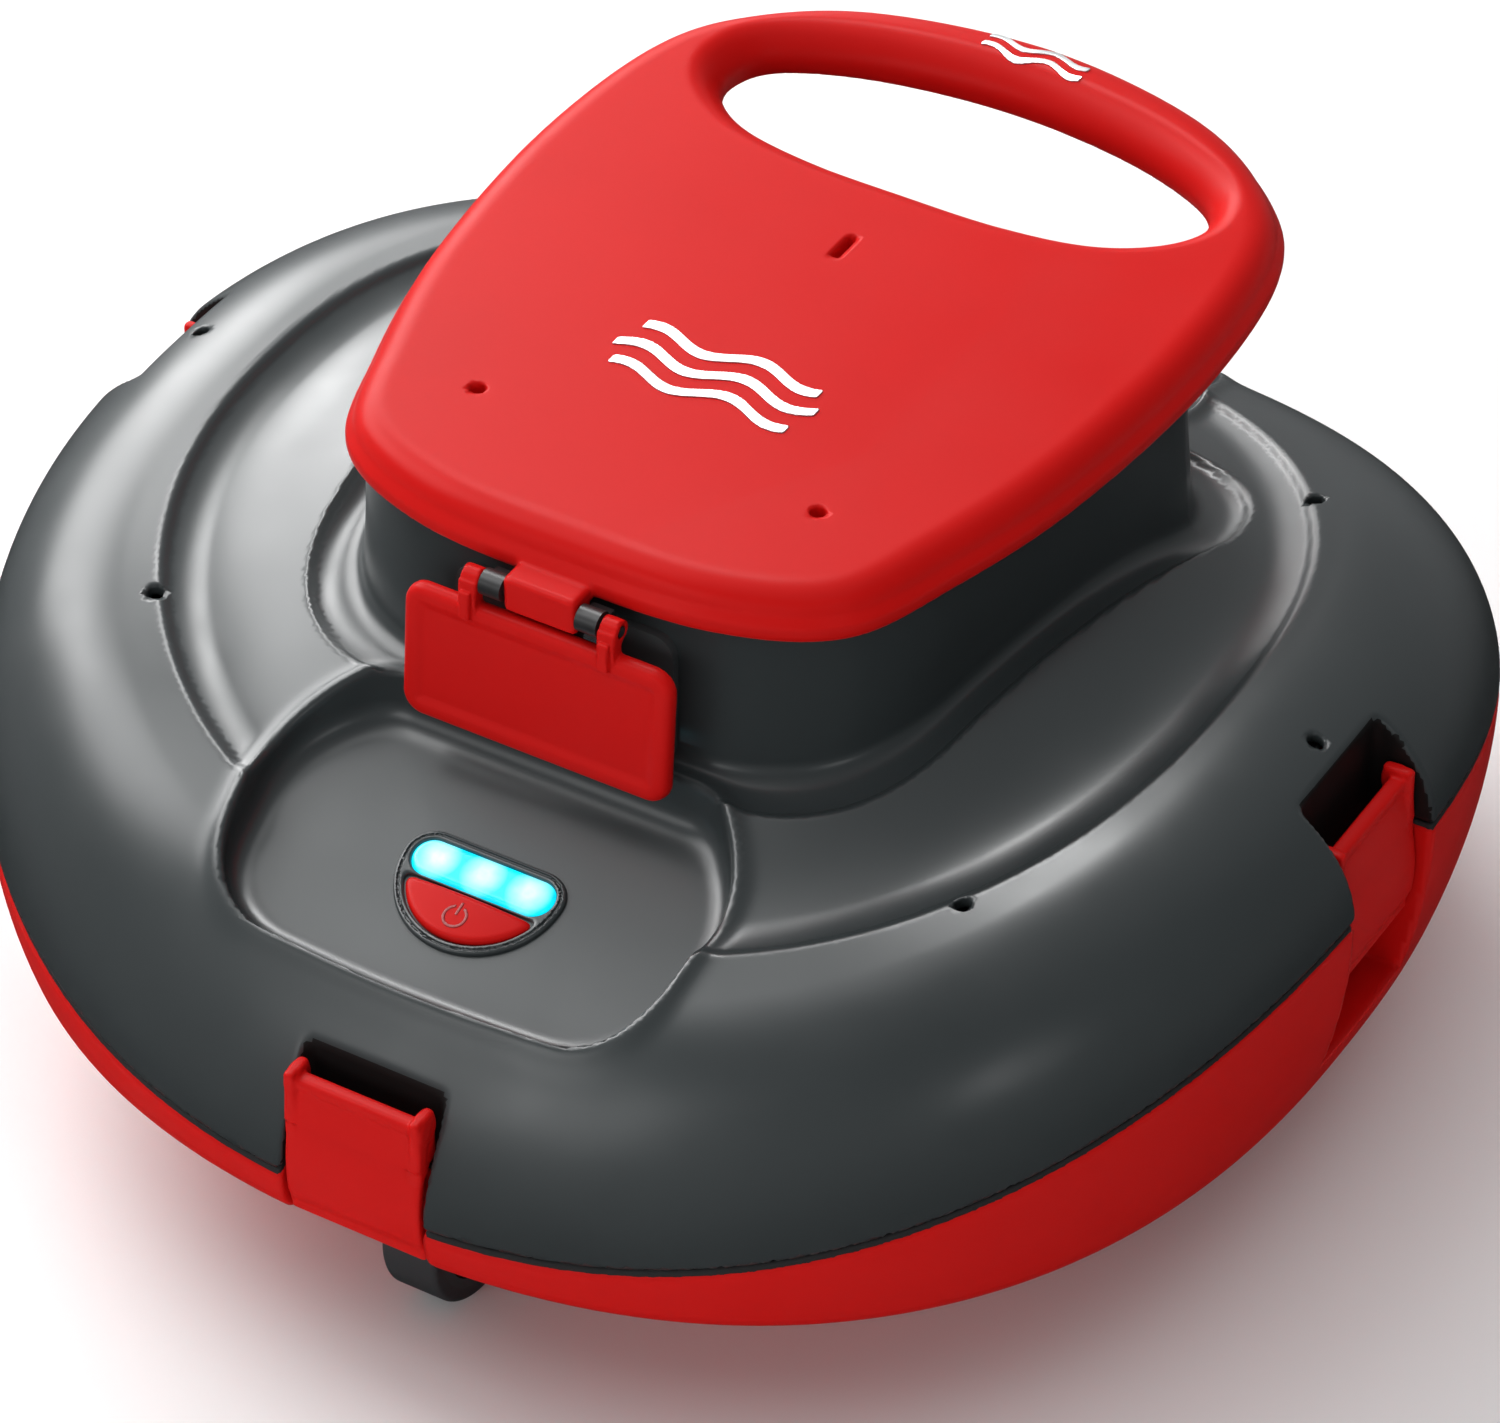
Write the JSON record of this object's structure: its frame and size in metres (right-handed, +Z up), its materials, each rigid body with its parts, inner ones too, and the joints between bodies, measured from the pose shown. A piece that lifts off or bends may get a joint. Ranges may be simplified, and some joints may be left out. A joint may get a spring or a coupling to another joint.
{
  "type": "pool cleaner",
  "caption": "Cordless pool vacuum: domed shell with handle plate and two flapped jets, clipped by side latches onto a wheeled suction tub with a filter.",
  "frame": {"origin": "on the pool floor, under the middle of the body", "axes": "+Z up, -Y towards the control panel, which is the front, +Y towards the hand slot, +X to the object's left seen from the front, with the wheel axles along X"},
  "size_m": [0.3684, 0.3684, 0.1984],
  "materials": {
    "red": "satin moulded plastic, red",
    "charcoal": "satin moulded plastic, dark slate grey",
    "black": "fine matt moulded plastic, black",
    "rubber": "soft black rubber",
    "tyre": "black rubber tyre with a fine grain",
    "steel": "brushed stainless steel",
    "mesh": "fine woven nylon mesh, pale grey",
    "foam": "closed-cell foam, off-white",
    "light_window": "glossy translucent plastic lit cyan",
    "led": "glossy LED lens, lit",
    "board": "green circuit board",
    "cell": "shrink-wrapped steel battery cell, blue",
    "motor_can": "plated steel motor can"
  },
  "bodies": {
    "tub": {"tub_shell": "red", "rim_seal": "rubber", "latch_pins": "steel", "wheel_axles": "steel"},
    "shell": {"upper_shell": "charcoal", "handle_plate": "red", "handle_screws": "steel", "flap_clips_front": "black", "flap_clips_rear": "black", "flap_pin_front": "steel", "flap_pin_rear": "steel", "jet_duct_front": "charcoal", "jet_duct_rear": "charcoal", "motor_front": "motor_can", "motor_rear": "motor_can", "shaft_seal_front": "rubber", "shaft_seal_rear": "rubber", "motor_box": "charcoal", "box_gasket": "rubber", "box_lid": "charcoal", "box_screws": "steel", "battery_cells": "cell", "battery_cradle": "black", "main_board": "board", "float_left": "foam", "float_right": "foam", "panel_bezel": "charcoal", "led_window": "light_window", "panel_pod": "charcoal", "panel_board": "board", "leds": "led", "power_switch": "black", "charge_socket": "black"},
    "filter": {"filter_tray": "black", "filter_mesh": "mesh"},
    "latch_front_body": {"latch_front": "red"},
    "latch_right_body": {"latch_right": "red"},
    "latch_rear_body": {"latch_rear": "red"},
    "latch_left_body": {"latch_left": "red"},
    "roller_front": {"wheel_front": "charcoal", "tyre_front": "tyre"},
    "roller_rear": {"wheel_rear": "charcoal", "tyre_rear": "tyre"},
    "roller_left": {"wheel_left": "charcoal", "tyre_left": "tyre"},
    "roller_right": {"wheel_right": "charcoal", "tyre_right": "tyre"},
    "valve_front": {"inlet_valve_front": "black"},
    "valve_rear": {"inlet_valve_rear": "black"},
    "flap_front": {"jet_flap_front": "red"},
    "flap_rear": {"jet_flap_rear": "red"},
    "impeller_front": {"propeller_front": "black", "prop_shaft_front": "steel"},
    "impeller_rear": {"propeller_rear": "black", "prop_shaft_rear": "steel"},
    "button": {"power_button": "red"},
    "cap": {"charge_cap": "rubber"}
  },
  "joints": [
    {"name": "shell_lift", "type": "slide", "parent": "tub", "child": "shell", "axis": [0, 0, 1], "range_m": [0, 0.15]},
    {"name": "filter_lift", "type": "slide", "parent": "tub", "child": "filter", "axis": [0, 0, 1], "range_m": [0, 0.06]},
    {"name": "latch_front_hinge", "type": "hinge", "parent": "tub", "child": "latch_front_body", "pos_m": [0, -0.176, 0.0521], "axis": [1, 0, 0], "range_deg": [0, 70]},
    {"name": "latch_right_hinge", "type": "hinge", "parent": "tub", "child": "latch_right_body", "pos_m": [0.176, 0, 0.0871], "axis": [0, 1, 0], "range_deg": [0, 70]},
    {"name": "latch_rear_hinge", "type": "hinge", "parent": "tub", "child": "latch_rear_body", "pos_m": [0, 0.176, 0.0521], "axis": [-1, 0, 0], "range_deg": [0, 70]},
    {"name": "latch_left_hinge", "type": "hinge", "parent": "tub", "child": "latch_left_body", "pos_m": [-0.176, 0, 0.0871], "axis": [0, -1, 0], "range_deg": [0, 70]},
    {"name": "wheel_front_spin", "type": "hinge", "parent": "tub", "child": "roller_front", "pos_m": [0, -0.137, 0.0235], "axis": [1, 0, 0], "continuous": true},
    {"name": "wheel_rear_spin", "type": "hinge", "parent": "tub", "child": "roller_rear", "pos_m": [0, 0.137, 0.0235], "axis": [1, 0, 0], "continuous": true},
    {"name": "wheel_left_spin", "type": "hinge", "parent": "tub", "child": "roller_left", "pos_m": [-0.125, 0, 0.0235], "axis": [1, 0, 0], "continuous": true},
    {"name": "wheel_right_spin", "type": "hinge", "parent": "tub", "child": "roller_right", "pos_m": [0.125, 0, 0.0235], "axis": [1, 0, 0], "continuous": true},
    {"name": "inlet_valve_front_hinge", "type": "hinge", "parent": "tub", "child": "valve_front", "pos_m": [0, -0.052, 0.0164], "axis": [1, 0, 0], "range_deg": [0, 55]},
    {"name": "inlet_valve_rear_hinge", "type": "hinge", "parent": "tub", "child": "valve_rear", "pos_m": [0, 0.052, 0.0164], "axis": [-1, 0, 0], "range_deg": [0, 55]},
    {"name": "jet_flap_front_hinge", "type": "hinge", "parent": "shell", "child": "flap_front", "pos_m": [0, -0.0895, 0.1825], "axis": [-1, 0, 0], "range_deg": [0, 60]},
    {"name": "jet_flap_rear_hinge", "type": "hinge", "parent": "shell", "child": "flap_rear", "pos_m": [0, 0.0895, 0.1781], "axis": [1, 0, 0], "range_deg": [0, 60]},
    {"name": "propeller_front_spin", "type": "hinge", "parent": "shell", "child": "impeller_front", "pos_m": [0, -0.064, 0.157], "axis": [0, -1, 0], "continuous": true},
    {"name": "propeller_rear_spin", "type": "hinge", "parent": "shell", "child": "impeller_rear", "pos_m": [0, 0.064, 0.157], "axis": [0, 1, 0], "continuous": true},
    {"name": "power_button_press", "type": "slide", "parent": "shell", "child": "button", "axis": [0, 0.309, -0.9511], "range_m": [0, 0.0012], "stiffness_N_per_m": 400},
    {"name": "charge_cap_hinge", "type": "hinge", "parent": "shell", "child": "cap", "pos_m": [0, 0.11367, 0.12277], "axis": [1, 0, 0], "range_deg": [0, 100]}
  ],
  "couplings": [
    {"joint": "filter_lift", "follows": "shell_lift", "ratio": 0.4}
  ]
}
